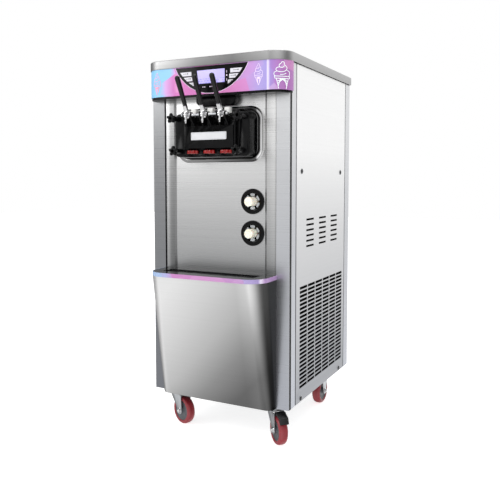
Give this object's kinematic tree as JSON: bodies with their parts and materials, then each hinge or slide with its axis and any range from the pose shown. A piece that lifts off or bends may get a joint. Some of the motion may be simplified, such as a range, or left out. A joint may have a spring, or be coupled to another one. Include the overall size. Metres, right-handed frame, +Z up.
{
  "type": "soft-serve ice cream machine",
  "caption": "Floor-standing soft-serve ice cream machine on casters, with draw levers, printed fascia, drip tray and cone holders.",
  "frame": {"origin": "on the floor, below the centre of the machine's bounding box", "axes": "+X to the right seen from the front, +Y to the back, +Z up"},
  "size_m": [0.547, 0.7754, 1.3],
  "materials": {
    "panel_steel": "horizontal brushed stainless sheet",
    "cover_steel": "satin stainless sheet",
    "chrome_trim": "polished",
    "zinc_steel": "bright zinc plate",
    "frame_paint": "grey powder coat",
    "black_rubber": "matt extruded seal",
    "fascia_print": "printed film in blue, pink and violet",
    "black_gloss": "polished black",
    "black_satin": "satin moulded black",
    "display_glass": "lavender backlit window",
    "white_plastic": "white",
    "red_plastic": "clear red",
    "wafer": "ivory wafer",
    "wheel_red": "red polyurethane tread on a grey hub",
    "food_plastic": "white food plastic",
    "cast_grey": "painted casting",
    "foam_white": "foamed insulation",
    "fin_aluminium": "bare fins"
  },
  "bodies": {
    "cabinet": {"base_frame": "frame_paint", "left_side_panel": "panel_steel", "right_side_panel": "panel_steel", "rear_panel": "panel_steel", "front_panel": "panel_steel", "corner_posts": "panel_steel", "corner_seals": "black_rubber", "lower_apron": "panel_steel", "apron_band": "fascia_print", "tray_surround": "black_gloss", "top_cover": "cover_steel", "hoppers": "cover_steel", "freezing_cylinders": "foam_white", "gear_motors": "cast_grey", "compressor": "cast_grey", "condenser": "fin_aluminium", "control_box": "frame_paint", "fascia": "fascia_print", "fascia_base": "black_gloss", "control_panel": "black_gloss", "display": "display_glass", "head_bezel": "chrome_trim", "face_plate": "black_gloss", "dispensing_head": "black_gloss", "nozzle_caps": "red_plastic", "cone_dispensers": "black_satin", "fasteners": "zinc_steel", "cable_gland": "black_satin", "rear_forks": "zinc_steel"},
    "drip_tray": {"drip_tray": "black_satin"},
    "drip_grid": {"drip_grid": "black_satin"},
    "hopper_lid": {"hopper_lid": "cover_steel"},
    "beater_left": {"beater_left": "food_plastic"},
    "beater_right": {"beater_right": "food_plastic"},
    "fan": {"fan_blade": "black_satin"},
    "key_left_top": {"key_left_top": "white_plastic"},
    "key_left_middle": {"key_left_middle": "white_plastic"},
    "key_left_bottom": {"key_left_bottom": "white_plastic"},
    "key_right_top": {"key_right_top": "white_plastic"},
    "key_right_middle": {"key_right_middle": "white_plastic"},
    "key_right_bottom": {"key_right_bottom": "white_plastic"},
    "knob_upper_left": {"knob_upper_left": "black_satin"},
    "knob_upper_right": {"knob_upper_right": "black_satin"},
    "knob_lower_left": {"knob_lower_left": "black_satin"},
    "knob_lower_right": {"knob_lower_right": "black_satin"},
    "lever_left": {"lever_left": "black_satin"},
    "piston_left": {"piston_left": "white_plastic"},
    "lever_middle": {"lever_middle": "black_satin"},
    "piston_middle": {"piston_middle": "white_plastic"},
    "lever_right": {"lever_right": "black_satin"},
    "piston_right": {"piston_right": "white_plastic"},
    "cone_upper": {"cone_upper": "wafer"},
    "cone_lower": {"cone_lower": "wafer"},
    "front_left_caster": {"front_left_fork": "zinc_steel"},
    "front_right_caster": {"front_right_fork": "zinc_steel"},
    "front_left_wheel": {"front_left_wheel": "wheel_red"},
    "front_right_wheel": {"front_right_wheel": "wheel_red"},
    "rear_left_wheel": {"rear_left_wheel": "wheel_red"},
    "rear_right_wheel": {"rear_right_wheel": "wheel_red"},
    "brake_pedal": {"brake_pedal": "black_satin"}
  },
  "joints": [
    {"name": "lever_left_pull", "type": "hinge", "parent": "cabinet", "child": "lever_left", "pos_m": [-0.0645, -0.31779, 1.1035], "axis": [1, 0, 0], "range_deg": [0, 50]},
    {"name": "piston_left_lift", "type": "slide", "parent": "cabinet", "child": "piston_left", "axis": [0, 0, 1], "range_m": [0, 0.034]},
    {"name": "lever_middle_pull", "type": "hinge", "parent": "cabinet", "child": "lever_middle", "pos_m": [0, -0.31779, 1.1035], "axis": [1, 0, 0], "range_deg": [0, 50]},
    {"name": "piston_middle_lift", "type": "slide", "parent": "cabinet", "child": "piston_middle", "axis": [0, 0, 1], "range_m": [0, 0.034]},
    {"name": "lever_right_pull", "type": "hinge", "parent": "cabinet", "child": "lever_right", "pos_m": [0.0645, -0.31779, 1.1035], "axis": [1, 0, 0], "range_deg": [0, 50]},
    {"name": "piston_right_lift", "type": "slide", "parent": "cabinet", "child": "piston_right", "axis": [0, 0, 1], "range_m": [0, 0.034]},
    {"name": "key_left_top_press", "type": "slide", "parent": "cabinet", "child": "key_left_top", "axis": [0, 1, 0], "range_m": [0, 0.0009], "stiffness_N_per_m": 400},
    {"name": "key_left_middle_press", "type": "slide", "parent": "cabinet", "child": "key_left_middle", "axis": [0, 1, 0], "range_m": [0, 0.0009], "stiffness_N_per_m": 400},
    {"name": "key_left_bottom_press", "type": "slide", "parent": "cabinet", "child": "key_left_bottom", "axis": [0, 1, 0], "range_m": [0, 0.0009], "stiffness_N_per_m": 400},
    {"name": "key_right_top_press", "type": "slide", "parent": "cabinet", "child": "key_right_top", "axis": [0, 1, 0], "range_m": [0, 0.0009], "stiffness_N_per_m": 400},
    {"name": "key_right_middle_press", "type": "slide", "parent": "cabinet", "child": "key_right_middle", "axis": [0, 1, 0], "range_m": [0, 0.0009], "stiffness_N_per_m": 400},
    {"name": "key_right_bottom_press", "type": "slide", "parent": "cabinet", "child": "key_right_bottom", "axis": [0, 1, 0], "range_m": [0, 0.0009], "stiffness_N_per_m": 400},
    {"name": "knob_upper_left_turn", "type": "hinge", "parent": "cabinet", "child": "knob_upper_left", "pos_m": [-0.127, -0.32429, 1.0957], "axis": [0, -1, 0], "continuous": true},
    {"name": "knob_upper_right_turn", "type": "hinge", "parent": "cabinet", "child": "knob_upper_right", "pos_m": [0.127, -0.32429, 1.0957], "axis": [0, -1, 0], "continuous": true},
    {"name": "knob_lower_left_turn", "type": "hinge", "parent": "cabinet", "child": "knob_lower_left", "pos_m": [-0.1195, -0.32429, 0.986], "axis": [0, -1, 0], "continuous": true},
    {"name": "knob_lower_right_turn", "type": "hinge", "parent": "cabinet", "child": "knob_lower_right", "pos_m": [0.1195, -0.32429, 0.986], "axis": [0, -1, 0], "continuous": true},
    {"name": "hopper_lid_lift", "type": "slide", "parent": "cabinet", "child": "hopper_lid", "axis": [0, 0, 1], "range_m": [0, 0.06]},
    {"name": "drip_tray_lift", "type": "slide", "parent": "cabinet", "child": "drip_tray", "axis": [0, 0, 1], "range_m": [0, 0.08]},
    {"name": "drip_grid_lift", "type": "slide", "parent": "drip_tray", "child": "drip_grid", "axis": [0, 0, 1], "range_m": [0, 0.04]},
    {"name": "beater_left_spin", "type": "hinge", "parent": "cabinet", "child": "beater_left", "pos_m": [-0.08, -0.07829, 1.035], "axis": [0, 1, 0], "continuous": true},
    {"name": "beater_right_spin", "type": "hinge", "parent": "cabinet", "child": "beater_right", "pos_m": [0.08, -0.07829, 1.035], "axis": [0, 1, 0], "continuous": true},
    {"name": "fan_spin", "type": "hinge", "parent": "cabinet", "child": "fan", "pos_m": [0.15, 0.05171, 0.32], "axis": [1, 0, 0], "continuous": true},
    {"name": "cone_upper_pull", "type": "slide", "parent": "cabinet", "child": "cone_upper", "axis": [0, -1, 0], "range_m": [0, 0.045]},
    {"name": "cone_lower_pull", "type": "slide", "parent": "cabinet", "child": "cone_lower", "axis": [0, -1, 0], "range_m": [0, 0.045]},
    {"name": "front_left_swivel", "type": "hinge", "parent": "cabinet", "child": "front_left_caster", "pos_m": [-0.197, -0.18829, 0.118], "axis": [0, 0, 1], "continuous": true},
    {"name": "front_left_wheel_spin", "type": "hinge", "parent": "front_left_caster", "child": "front_left_wheel", "pos_m": [-0.16177, -0.20253, 0.05], "axis": [0.3746, 0.9272, 0], "continuous": true},
    {"name": "front_right_swivel", "type": "hinge", "parent": "cabinet", "child": "front_right_caster", "pos_m": [0.197, -0.18829, 0.118], "axis": [0, 0, 1], "continuous": true},
    {"name": "front_right_wheel_spin", "type": "hinge", "parent": "front_right_caster", "child": "front_right_wheel", "pos_m": [0.22434, -0.21469, 0.05], "axis": [0.6947, 0.7193, 0], "continuous": true},
    {"name": "rear_left_wheel_spin", "type": "hinge", "parent": "cabinet", "child": "rear_left_wheel", "pos_m": [-0.205, 0.22371, 0.05], "axis": [1, 0, 0], "continuous": true},
    {"name": "rear_right_wheel_spin", "type": "hinge", "parent": "cabinet", "child": "rear_right_wheel", "pos_m": [0.205, 0.22371, 0.05], "axis": [1, 0, 0], "continuous": true},
    {"name": "brake_pedal_press", "type": "hinge", "parent": "front_right_caster", "child": "brake_pedal", "pos_m": [0.22577, -0.21608, 0.107], "axis": [0.6947, 0.7193, 0], "range_deg": [0, 6]}
  ],
  "couplings": [
    {"joint": "piston_left_lift", "follows": "lever_left_pull", "m_per_rad": 0.038},
    {"joint": "piston_middle_lift", "follows": "lever_middle_pull", "m_per_rad": 0.038},
    {"joint": "piston_right_lift", "follows": "lever_right_pull", "m_per_rad": 0.038}
  ]
}
